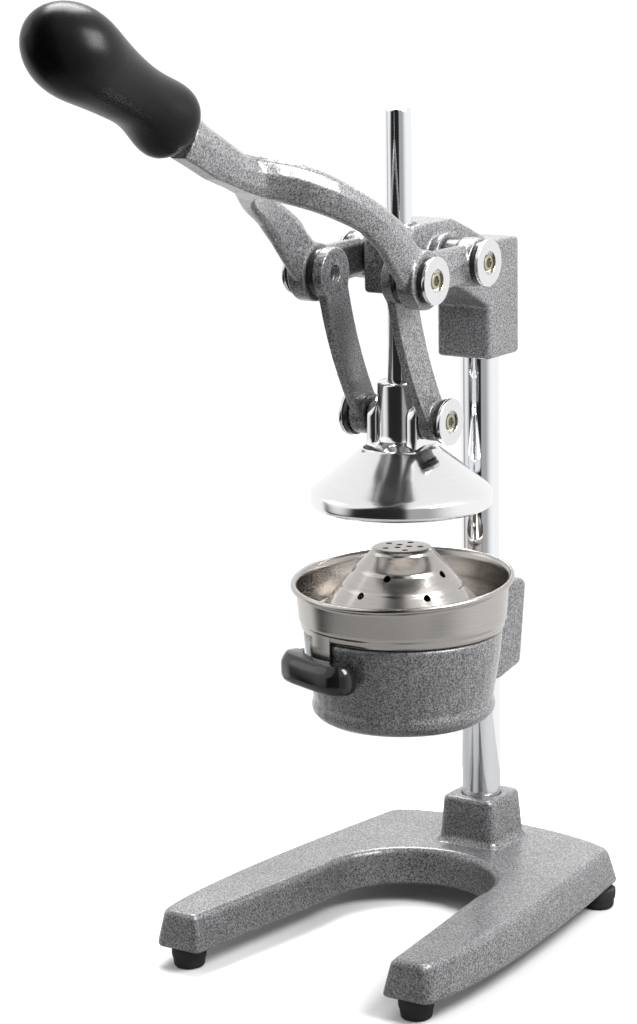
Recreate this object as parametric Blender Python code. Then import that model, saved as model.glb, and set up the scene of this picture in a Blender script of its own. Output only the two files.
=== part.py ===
"""Hand-lever citrus press. Lengths are millimetres in the named sizes and become metres in the helpers.
X is right, -Y is the front, Z is up, and the rubber feet stand on Z = 0. Sizes are laid out with the press
rod on X = Y = 0; the last lines move everything so that the middle of the footprint is the origin."""

import math

import bmesh
import bpy
from mathutils import Matrix, Vector

for leftover in list(bpy.data.objects):
    bpy.data.objects.remove(leftover, do_unlink=True)

mm = 0.001
gap = 0.3  # between parts that touch
rod_behind_middle = 104.68

foot_height, foot_top_r, foot_low_r = 13.0, 11.0, 9.5
foot_hole_r, foot_screw_r, foot_bore_r = 2.6, 2.3, 2.7
base_top, base_draft = 37.0, 5.0
column_y, column_r, column_low, column_top = 95.0, 12.55, 27.3, 424.0
set_screw_r, set_screw_hole_r, hex_across = 3.9, 4.2, 4.0
base_screw_z, ring_screw_z, head_screw_z = 52.0, 170.0, 398.0
ring_rear_y, head_rear_y = 117.0, 112.0  # the flat rear faces that hold the upper two set screws
pedestal_top = 68.5
ring_low, ring_top, ring_r = 144.0, 201.5, 62.6
pan_low, pan_rim, pan_r = 201.9, 234.0, 70.0
sieve_top, sieve_top_r, sieve_low_r, sieve_low, sieve_ridges = 253.5, 19.8, 57.0, 208.0, 4
flank_hole_r, top_hole_r = 2.1, 1.5
flank_holes = {30.0: (-148, -76, -2, 68, 140), 39.1: (-165, -99, -35, 45, 120)}  # radius: angles in degrees
top_holes = {4.5: 3, 11.5: 5}  # radius: how many
cone_low, cone_r = 280.6, 56.7
hub_top, hub_r = 358.3, 14.4
rod_r, rod_low, rod_top = 8.25, 326.0, 526.0
head_low, head_top, arm_top = 361.5, 436.5, 456.0
head_half, guide_half = 19.5, 16.0
bush_in_r, bush_out_r = 8.6, 10.5
pivot_a = (-39.0, 428.5)  # (Y, Z) of the lever and link pivot at rest
pivot_b = (22.0, 432.0)  # (Y, Z) of the lever's fulcrum on the head
pivot_c = (0.0, 335.7)  # (Y, Z) of the link and press cone pivot at rest
pin_r, pin_slack, cap_r, cap_thick = 5.0, 0.25, 14.5, 4.2
boss_a_r, boss_b_r, link_boss_r, eye_r = 18.0, 15.0, 16.0, 12.6
loose_pin_r, loose_eye_r = 4.5, 9.0  # the link's lower eye turns loosely on this pin
lever_in, lever_out = 33.0, 45.0  # |X| of the lever's two arms
link_in, link_out = 21.0, 28.0  # |X| of the two links
eye_in, eye_out = 20.0, 31.0  # |X| of the links' lower eyes
ear_in, ear_out = 10.5, 18.6  # |X| of the press cone's two ears
cap_face_ab, cap_face_c = 51.2, 36.9  # |X| of the caps' faces at the pivots
boss_rise = 0.5  # how far the round bosses stand out from the arms and links
handle_turn = math.radians(-20.5)  # where the pan's tab points, from the front
rim_lean = math.tan(math.radians(3.9))  # the pan's rim is bent down at the front and up at the rear
grip_at, grip_slope, grip_long = (0.0, -227.1, 534.4), math.radians(27.5), 136.0
foot_spots = {"front_right": (83.5, -121.0), "front_left": (-83.5, -121.0),
              "rear_right": (82.0, 107.0), "rear_left": (-82.0, 107.0)}


def material(name, colour, roughness, metallic):
    made = bpy.data.materials.new(name)
    made.use_nodes = True
    shader = made.node_tree.nodes["Principled BSDF"]
    shader.inputs["Base Color"].default_value = (*colour, 1.0)
    shader.inputs["Roughness"].default_value = roughness
    shader.inputs["Metallic"].default_value = metallic
    made.diffuse_color = (*colour, 1.0)
    return made


hammered = material("hammered_grey_paint", (0.33, 0.33, 0.34), 0.42, 0.6)
chrome = material("chrome", (0.82, 0.83, 0.85), 0.06, 1.0)
polished = material("polished_aluminium", (0.86, 0.86, 0.87), 0.12, 1.0)
stainless = material("brushed_stainless", (0.68, 0.65, 0.62), 0.28, 1.0)
rubber = material("black_rubber", (0.02, 0.02, 0.02), 0.75, 0.0)
moulded = material("satin_black_grip", (0.025, 0.025, 0.027), 0.45, 0.0)
glossy = material("gloss_black_tab", (0.01, 0.01, 0.011), 0.15, 0.0)
nylon = material("black_nylon", (0.015, 0.015, 0.016), 0.5, 0.0)
brass = material("brass", (0.62, 0.52, 0.3), 0.3, 1.0)
steel = material("steel", (0.4, 0.4, 0.41), 0.35, 1.0)


def empty(name, at, parent=None):
    made = bpy.data.objects.new(name, None)
    bpy.context.scene.collection.objects.link(made)
    made.empty_display_size = 20 * mm
    made.location = Vector(at) * mm
    if parent:
        hang(made, parent)
    return made


def hang(obj, parent):
    """Parents obj and leaves it where it stands."""
    bpy.context.view_layer.update()
    obj.parent = parent
    obj.matrix_parent_inverse = parent.matrix_world.inverted()


def piece(name, bm, look, parent=None, at=(0, 0, 0), turn=None):
    """An object from a bmesh whose faces are all set to point outwards."""
    bmesh.ops.recalc_face_normals(bm, faces=bm.faces)
    mesh = bpy.data.meshes.new(name)
    bm.to_mesh(mesh)
    bm.free()
    mesh.materials.append(look)
    made = bpy.data.objects.new(name, mesh)
    bpy.context.scene.collection.objects.link(made)
    made.matrix_world = Matrix.Translation(Vector(at) * mm) @ (turn or Matrix())
    if parent:
        hang(made, parent)
    return made


def turned(profile, steps):
    """A closed (radius, height) profile turned about Z; it may start and end on the axis."""
    bm = bmesh.new()
    rings = []
    for radius, height in profile:
        count = steps if radius > 0 else 1
        angles = [math.tau * k / steps for k in range(count)]
        ring = [(radius * math.cos(a), radius * math.sin(a), height) for a in angles]
        rings.append([bm.verts.new(Vector(point) * mm) for point in ring])
    for first, second in zip(rings, rings[1:] + rings[:1]):
        for k in range(steps):
            corners = [first[k % len(first)], first[(k + 1) % len(first)],
                       second[(k + 1) % len(second)], second[k % len(second)]]
            corners = list(dict.fromkeys(corners))
            if len(corners) > 2:
                bm.faces.new(corners)
    return bm


def stacked(layers):
    """A solid through layers of (outline, z) that all have the same number of points."""
    bm = bmesh.new()
    rings = [[bm.verts.new((x * mm, y * mm, z * mm)) for x, y in outline] for outline, z in layers]
    for lower, upper in zip(rings, rings[1:]):
        for k in range(len(lower)):
            after = (k + 1) % len(lower)
            bm.faces.new([lower[k], lower[after], upper[after], upper[k]])
    bm.faces.new(rings[0])
    bm.faces.new(rings[-1])
    return bm


def side_plate(outline, low_x, high_x):
    """A plate with a (Y, Z) outline, from low_x to high_x."""
    bm = stacked([(outline, low_x), (outline, high_x)])
    bm.transform(Matrix(((0, 0, 1, 0), (1, 0, 0, 0), (0, 1, 0, 0), (0, 0, 0, 1))))
    return bm


def disc(radius, low, high, steps):
    return turned([(0, low), (radius, low), (radius, high), (0, high)], steps)


def facing_x(side):
    """Turns local Z to point to +X (side 1) or -X (side -1)."""
    return Matrix.Rotation(side * math.pi / 2, 4, "Y")


def arc(centre, radius, start, end, count):
    angles = [math.radians(start + (end - start) * k / count) for k in range(count + 1)]
    return [(centre[0] + radius * math.cos(a), centre[1] + radius * math.sin(a)) for a in angles]


def bowed(start, middle, end, count):
    """Points after start on a smooth curve through middle to end."""
    pull = [2 * m - (s + e) / 2 for s, m, e in zip(start, middle, end)]
    points = []
    for k in range(1, count + 1):
        t = k / count
        shares = ((1 - t) ** 2, 2 * t * (1 - t), t * t)
        points.append(tuple(sum(f * v for f, v in zip(shares, three)) for three in zip(start, pull, end)))
    return points


def settle(obj):
    """Bakes the object's modifiers into its mesh."""
    bpy.context.view_layer.update()
    graph = bpy.context.evaluated_depsgraph_get()
    baked = bpy.data.meshes.new_from_object(obj.evaluated_get(graph))
    obj.modifiers.clear()
    obj.data = baked


def combine(obj, operation, *tools):
    for tool in tools:
        step = obj.modifiers.new(operation.lower(), "BOOLEAN")
        step.operation = operation
        step.solver = "EXACT"
        step.object = tool
        settle(obj)
        bpy.data.objects.remove(tool, do_unlink=True)


def soften(obj, width, segments=2):
    edge = obj.modifiers.new("softened_edges", "BEVEL")
    edge.width = width * mm
    edge.segments = segments
    edge.limit_method = "ANGLE"
    edge.angle_limit = math.radians(30)
    settle(obj)


def tool(bm, at=(0, 0, 0), turn=None):
    made = piece("tool", bm, steel, at=at, turn=turn)
    made.hide_render = True
    made.display_type = "WIRE"
    return made


def socket_tool(across, low, high, at=(0, 0, 0), turn=None):
    return tool(disc(across / math.sqrt(3), low, high, 6), at, turn)


def rear_hole(z):
    """Cuts a set screw's hole through a rear wall into the column's bore."""
    to_rear = Matrix.Rotation(-math.pi / 2, 4, "X")
    return tool(disc(set_screw_hole_r, 0, 30, 12), (0, column_y + 5, z), to_rear)


def column_hole(low, high, steps=28):
    return tool(disc(column_r + gap, low, high, steps), (0, column_y, 0))


def pin_hole(radius, low, high, spot, side, steps=16):
    """Cuts a hole along X at a (Y, Z) pivot, from low to high on one side."""
    return tool(disc(radius, low, high, steps), (0, *spot), facing_x(side))


def round_boss(radius, low, high, spot, side, steps=28):
    return tool(disc(radius, low, high, steps), (0, *spot), facing_x(side))


def mirrored(half):
    """A right half outline, from its first point on X = 0 to its last, closed by its mirror image."""
    return half + [(-x, y) for x, y in reversed(half) if abs(x) > 1e-6]


def base_outline(grow):
    """The U-shaped base seen from above, grow millimetres bigger than its top face."""
    tip_y = -129.5 - 0.7 * grow
    inner_tip, outer_tip = (72.0 - grow, tip_y), (97.0 + 0.8 * grow, tip_y)
    rear = (83.5 + grow, 115.0 + grow)
    cut_r = 58.0 - grow
    right = arc((0, 0), cut_r, 90, -8, 10) + [inner_tip, (inner_tip[0] + 2, tip_y - 1.5)]
    right += [(outer_tip[0] - 4, tip_y - 1.5), (outer_tip[0], tip_y + 3)]
    right += bowed(right[-1], (99.0 + 1.3 * grow, -35.0), rear, 7)
    right += [(rear[0] - 3, rear[1] + 4)]
    right += bowed(right[-1], (48.0, 129.5 + grow), (0.0, 135.0 + grow), 4)
    return mirrored(right)


def make_base():
    base = piece("base_casting", stacked([
        (base_outline(base_draft - 1), foot_height), (base_outline(base_draft), foot_height + 2),
        (base_outline(0.8), base_top - 2.5), (base_outline(-1.5), base_top)]), hammered)

    def square(half_x, half_y, corner):
        right = [(0, -half_y), (half_x - corner, -half_y), (half_x, corner - half_y),
                 (half_x, half_y - corner), (half_x - corner, half_y), (0, half_y)]
        return [(x, y + column_y) for x, y in mirrored(right)]

    pedestal = tool(stacked([
        (square(24.5, 24.0, 4), base_top - 4), (square(23.5, 23.0, 4), base_top + 1.2),
        (square(21.2, 20.7, 3), base_top + 3), (square(18.6, 20.0, 3), pedestal_top - 1.5),
        (square(17.4, 18.8, 3), pedestal_top)]))
    bore = turned([(0, foot_height - 5), (10, foot_height - 5), (10, 22), (5.6, 22), (5.6, 27),
                   (column_r + gap, 27), (column_r + gap, pedestal_top + 5), (0, pedestal_top + 5)], 32)
    combine(base, "UNION", pedestal)
    combine(base, "DIFFERENCE", tool(bore, (0, column_y, 0)), rear_hole(base_screw_z))
    for x, y in foot_spots.values():
        combine(base, "DIFFERENCE", tool(disc(foot_hole_r, 5, foot_height + 12, 10), (x, y, 0)))


def make_feet():
    for name, (x, y) in foot_spots.items():
        top = foot_height - gap
        foot = [(foot_bore_r, 6), (6, 6), (6, 0), (foot_low_r - 1, 0), (foot_low_r, 1), (foot_top_r, top),
                (foot_bore_r, top)]
        piece("foot_" + name, turned(foot, 16), rubber, at=(x, y, 0))
        tip = foot_height + 11
        screw = [(0, 2.5), (5, 2.5), (5.4, 3.5), (5.4, 5.7), (foot_screw_r, 5.7), (foot_screw_r, tip),
                 (0, tip)]
        piece("foot_screw_" + name, turned(screw, 8), steel, at=(x, y, 0))


def set_screw(name, z, rear_y):
    """A socket set screw in a rear face that bears on the column."""
    length = rear_y - column_y - column_r - gap - 0.7
    shape = [(0, 0), (set_screw_r - 0.7, 0), (set_screw_r, 0.8), (set_screw_r, length), (0, length)]
    at = (0, rear_y - 0.6 - length, z)
    to_rear = Matrix.Rotation(-math.pi / 2, 4, "X")
    screw = piece(name, turned(shape, 12), steel, at=at, turn=to_rear)
    combine(screw, "DIFFERENCE", socket_tool(hex_across, length - 3, length + 2, at, to_rear))


def make_column():
    at = (0, column_y, 0)
    column = piece("column", disc(column_r, column_low, column_top, 36), chrome, at=at)
    combine(column, "DIFFERENCE", tool(disc(4.6, 20, 60, 14), at))
    shape = [(0, 14), (8.4, 14), (9, 14.6), (9, 21.7), (4.3, 21.7), (4.3, 58), (0, 58)]
    bolt = piece("column_bolt", turned(shape, 18), steel, at=at)
    combine(bolt, "DIFFERENCE", socket_tool(2 * hex_across, 10, 19, at))
    set_screw("base_set_screw", base_screw_z, column_y + 19.7)
    set_screw("ring_set_screw", ring_screw_z, ring_rear_y)
    set_screw("head_set_screw", head_screw_z, head_rear_y)


def make_ring():
    outside = [(0, ring_low), (50, ring_low), (54.5, ring_low + 2.5), (57.6, 150), (58, 153.5), (56.6, 157.5),
               (61.4, 187), (ring_r, ring_top - 1.5), (ring_r - 1, ring_top), (0, ring_top)]
    ring = piece("bowl_ring", turned(outside, 40), hammered)
    block_side = [(30, 154), (84, 151), (110, 156), (117.5, 209), (112, 213), (30, 213)]
    block = tool(side_plate(block_side, -22, 22))
    soften(block, 2.5)
    combine(ring, "UNION", block)
    hollow = turned([(0, ring_low - 5), (42, ring_low - 5), (42, 147), (45, 150), (51.2, 158), (57, 187),
                     (57.8, ring_top + 0.01), (pan_r - 2, ring_top + 0.01), (pan_r + 3, 221), (0, 221)], 40)
    combine(ring, "DIFFERENCE", tool(hollow), column_hole(100, 260), rear_hole(ring_screw_z))


def curved_plate(low_r, high_r, half_angle, low, high):
    """A plate bent round Z, centred on the tab's direction."""
    middle = -90 + math.degrees(handle_turn)
    outer = arc((0, 0), high_r, middle - half_angle, middle + half_angle, 6)
    inner = arc((0, 0), low_r, middle + half_angle, middle - half_angle, 6)
    return stacked([(outer + inner, low), (outer + inner, high)])


def make_pan():
    pivot = empty("pan_pivot", (0, 0, ring_top))
    wall = [(42, pan_low), (61.5, pan_low), (63.6, 204), (64.4, 207.5), (65.2, 209.5), (66.4, 229), (67.6, 230),
            (69.2, 230.2), (pan_r, 231.5), (pan_r, 233.2), (69.2, pan_rim), (67.6, 233.8), (66.2, 232.4),
            (64.9, 229), (63.7, 210), (62.4, 205.2), (60.6, pan_low + 1.5), (42, pan_low + 1.5)]
    bm = turned(wall, 44)
    for point in bm.verts:
        lift = max(0.0, min(1.0, (point.co.z / mm - 210) / 18))
        point.co.z += lift * rim_lean * point.co.y
    pan = piece("pan", bm, stainless, pivot)
    combine(pan, "UNION", tool(curved_plate(63.1, 64.4, 14, 179, 207)))
    funnel = [(54.5, pan_low - gap), (54.5, 200), (13.5, 165), (12.5, 136), (11, 136), (11.8, 166),
              (50.5, 199.4), (50.5, pan_low - gap)]
    piece("juice_funnel", turned(funnel, 28), stainless, pivot)
    make_sieve(pivot)
    out = [(math.sin(handle_turn), -math.cos(handle_turn)), (math.cos(handle_turn), math.sin(handle_turn))]
    half = [(0.0, 79.0), (14.0, 78.6), (24.0, 76.5), (28.3, 72.2), (29.5, 66.5), (28.5, 57.0)]
    half += [(r * math.sin(a), r * math.cos(a)) for r, a in ((63.2, math.radians(d)) for d in (19, 10, 0))]
    outline = [(across * out[1][0] + reach * out[0][0], across * out[1][1] + reach * out[0][1])
               for across, reach in mirrored(half)]
    tab = piece("pan_tab", stacked([(outline, 174.6), (outline, 192.8)]), glossy, pivot)
    soften(tab, 3.2, 3)
    combine(tab, "DIFFERENCE", tool(curved_plate(62.0, 64.8, 15, 178.5, 200)))


def make_sieve(pivot):
    """A ridged cone with drain holes, standing on the pan's floor."""
    floor = pan_low + 1.5 + gap
    top_r, low_r, flank_top = sieve_top_r, sieve_low_r, sieve_top - 2
    outer = [(0, sieve_top), (17.2, sieve_top), (top_r, flank_top)]
    for k in range(1, sieve_ridges + 1):
        t = k / sieve_ridges
        radius = top_r + (low_r - top_r) * t
        height = flank_top + (sieve_low - flank_top) * t
        if k < sieve_ridges:
            outer.append((radius - 0.9, height + 0.3))
        outer.append((radius, height))
    outer += [(57.8, floor), (56.0, floor)]
    inner = [(55.4, 207.5), (18.6, 250.2), (16.8, sieve_top - 1.6), (0, sieve_top - 1.6)]
    sieve = piece("sieve_cone", turned(outer + inner, 32), stainless, pivot)
    slope = math.atan2(flank_top - sieve_low, low_r - top_r)
    for radius, turns in flank_holes.items():
        z = flank_top - (radius - top_r) * math.tan(slope)
        for angle in map(math.radians, turns):
            turn = Matrix.Rotation(angle, 4, "Z") @ Matrix.Rotation(math.pi / 2 - slope, 4, "Y")
            spot = (radius * math.cos(angle), radius * math.sin(angle), z)
            combine(sieve, "DIFFERENCE", tool(disc(flank_hole_r, -6, 6, 8), spot, turn))
    for radius, count in top_holes.items():
        for k in range(count):
            angle = math.tau * k / count + 0.4
            spot = (radius * math.cos(angle), radius * math.sin(angle), sieve_top)
            combine(sieve, "DIFFERENCE", tool(disc(top_hole_r, -6, 6, 6), spot))


def make_head():
    profile = [(-16.5, 414), (-16.5, 446), (-13.5, 451.5), (-8, arm_top - 1), (0, arm_top), (36, arm_top),
               (78, head_top + 1), (head_rear_y + 0.5, head_top), (head_rear_y + 0.5, head_low),
               (74.5, head_low), (74.5, 395.5), (44, 411), (30, 414)]
    head = piece("head_casting", side_plate(profile, -head_half, head_half), hammered)
    wide = head_half + 1
    plan = mirrored([(0, -25), (guide_half, -25), (guide_half, 16), (wide, 66), (wide, 125), (0, 125)])
    combine(head, "INTERSECT", tool(stacked([(plan, 340), (plan, 470)])))
    soften(head, 2.2)
    combine(head, "UNION", round_boss(17, -22.5, 22.5, pivot_b, 1, 24))
    combine(head, "DIFFERENCE", tool(disc(bush_out_r + gap, 400, 480, 24)),
            column_hole(340, column_top + 0.5), rear_hole(head_screw_z))
    for side in (1, -1):
        combine(head, "DIFFERENCE", pin_hole(pin_r + pin_slack, 13.5, 30, pivot_b, side))
    bush_low, bush_top = 414.3, arm_top - 0.5
    bush = [(bush_in_r, bush_low), (bush_out_r, bush_low), (bush_out_r, bush_top), (bush_in_r, bush_top)]
    piece("guide_bush", turned(bush, 24), nylon)


def make_press():
    slide = empty("press_slide", (0, 0, rod_top))
    shape = [(0, rod_low), (rod_r, rod_low), (rod_r, rod_top - 1), (rod_r - 1, rod_top), (0, rod_top)]
    rod = piece("press_rod", turned(shape, 32), chrome, slide)
    combine(rod, "DIFFERENCE", tool(disc(3.4, 300, 344, 12)))
    outer = [(hub_r - 1, hub_top), (hub_r, hub_top - 1), (hub_r, 323.5), (17, 321), (23.3, 317.8),
             (44.4, 300), (55.5, 290.8), (cone_r, 289), (cone_r, cone_low + 1), (55.9, cone_low),
             (54.8, cone_low)]
    inner = [(54.4, 288), (43, 297), (22, 314), (7.6, 314), (7.6, 320.3), (3.9, 320.3), (3.9, 324),
             (rod_r + gap, 325), (rod_r + gap, hub_top)]
    cone = piece("press_cone", turned(outer + inner, 38), polished, slide)
    ear = [(12, 316), (12, pivot_c[1])] + arc(pivot_c, 12, 22.5, 157.5, 6) + [(-12, pivot_c[1]), (-12, 316)]
    for side in (1, -1):
        low, high = sorted((side * ear_in, side * ear_out))
        combine(cone, "UNION", tool(side_plate(ear, low, high)))
        combine(cone, "DIFFERENCE", pin_hole(loose_pin_r + pin_slack, 6, 25, pivot_c, side, 14))
    shape = [(0, 315), (6.6, 315), (7, 315.5), (7, 320), (3.1, 320), (3.1, 342), (0, 342)]
    screw = piece("rod_screw", turned(shape, 16), steel, slide)
    combine(screw, "DIFFERENCE", socket_tool(6, 310, 318))
    return slide


def make_links(pivot):
    """The pair of links, each a bowed plate between an upper boss and a lower eye."""
    bow, half_top, half_low, steps = 5.0, 13.0, 10.4, 8
    along = Vector(pivot_c) - Vector(pivot_a)
    across = Vector((along.y, -along.x)).normalized()
    front = []
    back = []
    for k in range(steps + 1):
        t = k / steps
        middle = Vector(pivot_a) + along * t + across * bow * 4 * t * (1 - t)
        half = half_top + (half_low - half_top) * t
        front.append(tuple(middle + across * half))
        back.append(tuple(middle - across * half))
    for name, side in (("right", 1), ("left", -1)):
        low, high = sorted((side * (link_in + boss_rise), side * (link_out - boss_rise)))
        link = piece("link_" + name, side_plate(front + back[::-1], low, high), hammered, pivot)
        combine(link, "UNION", round_boss(link_boss_r, link_in, link_out, pivot_a, side, 24),
                round_boss(eye_r, eye_in, eye_out, pivot_c, side, 24))
        combine(link, "DIFFERENCE", pin_hole(loose_eye_r, 10, 40, pivot_c, side, 20),
                pin_hole(pin_r + pin_slack, 10, 40, pivot_a, side))


def make_lever(pivot):
    """The forked lever: two arms that run together into a tang, with a spigot inside the grip."""
    top = [(-221.5, 543.6), (-190, 526), (-167, 513), (-145, 509.5), (-125, 501), (-94, 485), (-62, 467),
           (-52, 460), (-45, 450), (-30, 443), (22, 444)]
    bottom = [(22, 420), (-25, 418), (-50, 420), (-60, 428), (-68.5, 437), (-80, 450), (-97, 464),
              (-125, 477), (-145, 485), (-160, 489.5), (-201, 504), (-233.6, 520.7)]
    lever = piece("lever_fork", side_plate(top + bottom, -50, 50), hammered, pivot)
    arm_out, arm_in = lever_out - boss_rise, lever_in + boss_rise
    outside = [(arm_out, 60), (arm_out, -80)] + bowed((arm_out, -80), (36.5, -122), (11.5, -163), 7)
    outside += [(9, -176), (9, -260), (0, -260)]
    inside = [(arm_in, 60), (arm_in, -80)] + bowed((arm_in, -80), (24.5, -116), (2, -143), 7)
    inside += [(0, -143.5)]
    plan = inside[-2::-1] + outside
    plan = plan + [(-x, y) for x, y in reversed(plan[:-1])] + [inside[-1]]
    combine(lever, "INTERSECT", tool(stacked([(plan, 380), (plan, 580)])))
    soften(lever, 2.4)
    spigot = Matrix.Rotation(math.pi / 2 - grip_slope, 4, "X")
    spigot_r, spigot_long = 6.0, grip_long - 22
    combine(lever, "UNION", tool(disc(spigot_r, -14, spigot_long, 16), grip_at, spigot))
    for side in (1, -1):
        for radius, spot in ((boss_a_r, pivot_a), (boss_b_r, pivot_b)):
            combine(lever, "UNION", round_boss(radius, lever_in, lever_out, spot, side))
            combine(lever, "DIFFERENCE", pin_hole(pin_r + pin_slack, 25, 60, spot, side))
    hollow_r, hollow_end = spigot_r + 0.4, spigot_long + gap
    grip = [(hollow_r, 0), (14, 0), (18.6, 3.5), (20.8, 10), (21.2, 19), (18.8, 35), (19.2, 50), (20.4, 65),
            (22.7, 79), (24.9, 92), (24.8, 102), (22.6, 112), (18, 122), (12, 130), (5.5, 135)]
    grip += [(0, grip_long), (0, hollow_end), (hollow_r, hollow_end)]
    piece("grip", turned(grip, 22), moulded, pivot, at=grip_at, turn=spigot)


def make_pivots(on_link, on_press):
    """Chrome studs with brass screws and black washers, and the spacers between the arms."""
    spots = {"a": (pivot_a, on_link, pin_r, 23.2, cap_face_ab, lever_out),
             "b": (pivot_b, None, pin_r, 14.2, cap_face_ab, lever_out),
             "c": (pivot_c, on_press, loose_pin_r, 12.6, cap_face_c, eye_out)}
    for letter, (spot, parent, shank, low, face, rests_on) in spots.items():
        back = face - cap_thick
        recess_floor, bore_end = face - 2.6, face - 13
        stud = [(0, low), (shank, low), (shank, back), (cap_r - 0.4, back), (cap_r, back + 0.5),
                (cap_r, face - 0.5), (cap_r - 0.5, face), (7, face), (7, recess_floor), (2.7, recess_floor),
                (2.7, bore_end), (0, bore_end)]
        seat, tip = recess_floor + gap, bore_end + 0.4
        screw = [(0, tip), (2.4, tip), (2.4, seat), (4.9, seat), (4.9, face - 0.7), (4.4, face - 0.3),
                 (0, face - 0.3)]
        washer_in, washer_out = shank + gap, cap_r - 0.8
        washer = [(washer_in, rests_on + gap), (washer_out, rests_on + gap), (washer_out, back - gap),
                  (washer_in, back - gap)]
        for name, side in (("right", 1), ("left", -1)):
            at, turn = (0, *spot), facing_x(side)
            piece(f"stud_{letter}_{name}", turned(stud, 18), chrome, parent, at, turn)
            head = piece(f"stud_screw_{letter}_{name}", turned(screw, 10), brass, parent, at, turn)
            combine(head, "DIFFERENCE", socket_tool(hex_across, face - 2, face + 2, at, turn))
            piece(f"washer_{letter}_{name}", turned(washer, 18), nylon, parent, at, turn)
    sleeves = (("a", pivot_a, on_link, 15.3, link_out), ("b", pivot_b, None, 14, 22.5))
    for letter, spot, parent, radius, rests_on in sleeves:
        near, far = rests_on + gap, lever_in - gap - 0.1
        sleeve = [(pin_r + gap, near), (radius, near), (radius, far), (pin_r + gap, far)]
        for name, side in (("right", 1), ("left", -1)):
            piece(f"spacer_{letter}_{name}", turned(sleeve, 18), nylon, parent, (0, *spot), facing_x(side))


make_base()
make_feet()
make_column()
make_ring()
make_pan()
make_head()
press_slide = make_press()
lever_pivot = empty("lever_pivot", (0, *pivot_b))
link_pivot = empty("link_pivot", (0, *pivot_a), lever_pivot)
make_lever(lever_pivot)
make_links(link_pivot)
make_pivots(link_pivot, press_slide)
# The origin is the middle of the footprint, which lies in front of the press rod.
for obj in list(bpy.data.objects):
    if obj.parent is None:
        obj.location.y += rod_behind_middle * mm
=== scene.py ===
import math

import bmesh
import bpy
from mathutils import Matrix, Vector


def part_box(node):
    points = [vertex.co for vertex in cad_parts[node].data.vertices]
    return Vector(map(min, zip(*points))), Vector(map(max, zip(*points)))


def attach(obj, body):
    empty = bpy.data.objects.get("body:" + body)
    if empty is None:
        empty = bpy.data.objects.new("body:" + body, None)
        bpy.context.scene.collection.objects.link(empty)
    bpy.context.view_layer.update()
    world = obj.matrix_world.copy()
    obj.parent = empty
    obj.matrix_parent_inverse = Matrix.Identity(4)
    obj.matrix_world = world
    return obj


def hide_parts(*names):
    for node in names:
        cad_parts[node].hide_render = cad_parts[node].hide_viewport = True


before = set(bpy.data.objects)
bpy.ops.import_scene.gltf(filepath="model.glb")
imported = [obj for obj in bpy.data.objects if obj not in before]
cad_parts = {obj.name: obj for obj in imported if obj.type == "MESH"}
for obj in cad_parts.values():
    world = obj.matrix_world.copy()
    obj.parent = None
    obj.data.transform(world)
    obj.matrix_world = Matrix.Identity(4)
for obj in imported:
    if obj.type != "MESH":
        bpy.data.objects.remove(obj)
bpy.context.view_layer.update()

mm = 0.001
sides = {"right": 1, "left": -1}


def middleOf(node):
    low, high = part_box(node)
    return (low + high) / 2


def standingAt(node):
    # the middle of the node's foot
    at = middleOf(node)
    at.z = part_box(node)[0].z
    return at


rodAt = middleOf("press_rod")
rodAt.z = 0
pivotAt = {letter: middleOf(f"stud_{letter}_right") for letter in "abc"}
for spot in pivotAt.values():
    spot.x = 0


def newLook(name, colour, roughness, metallic):
    look = bpy.data.materials.new(name)
    look.use_nodes = True
    shader = look.node_tree.nodes["Principled BSDF"]
    shader.inputs["Base Color"].default_value = (*colour, 1)
    shader.inputs["Roughness"].default_value = roughness
    shader.inputs["Metallic"].default_value = metallic
    return look, look.node_tree, shader


def addNode(tree, kind, inputs=None, **settings):
    made = tree.nodes.new("ShaderNode" + kind)
    for key, value in settings.items():
        setattr(made, key, value)
    for key, value in (inputs or {}).items():
        if isinstance(value, bpy.types.NodeSocket):
            tree.links.new(value, made.inputs[key])
        else:
            made.inputs[key].default_value = value
    return made


def ramp(tree, value, *stops):
    made = addNode(tree, "ValToRGB", {"Fac": value})
    points = made.color_ramp.elements
    points.remove(points[1])
    for k, (at, shade) in enumerate(stops):
        point = points.new(at) if k else points[0]
        point.position = at
        point.color = (*shade, 1) if isinstance(shade, tuple) else (shade, shade, shade, 1)
    return made.outputs["Color"]


def blendShades(tree, share, first, second, kind="MIX"):
    made = addNode(tree, "Mix", data_type="RGBA", blend_type=kind)
    for index, value in ((0, share), (6, first), (7, second)):
        if isinstance(value, bpy.types.NodeSocket):
            tree.links.new(value, made.inputs[index])
        else:
            made.inputs[index].default_value = (*value, 1) if index else value
    return made.outputs[2]


def bumpOn(tree, shader, height, strength, distance):
    bump = addNode(tree, "Bump", {"Height": height, "Strength": strength, "Distance": distance * mm})
    tree.links.new(bump.outputs["Normal"], shader.inputs["Normal"])


def overMm(tree, size):
    # object coordinates counted in steps of size millimetres
    where = addNode(tree, "TexCoord").outputs["Object"]
    return addNode(tree, "Mapping", {"Vector": where, "Scale": (1 / (size * mm),) * 3}).outputs["Vector"]


def noise(tree, where, detail, rough=0.5, output="Fac"):
    inputs = {"Vector": where, "Scale": 1.0, "Detail": detail, "Roughness": rough}
    return addNode(tree, "TexNoise", inputs).outputs[output]


def maths(tree, kind, first, second=0.0):
    return addNode(tree, "Math", {0: first, 1: second}, operation=kind).outputs[0]


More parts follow.
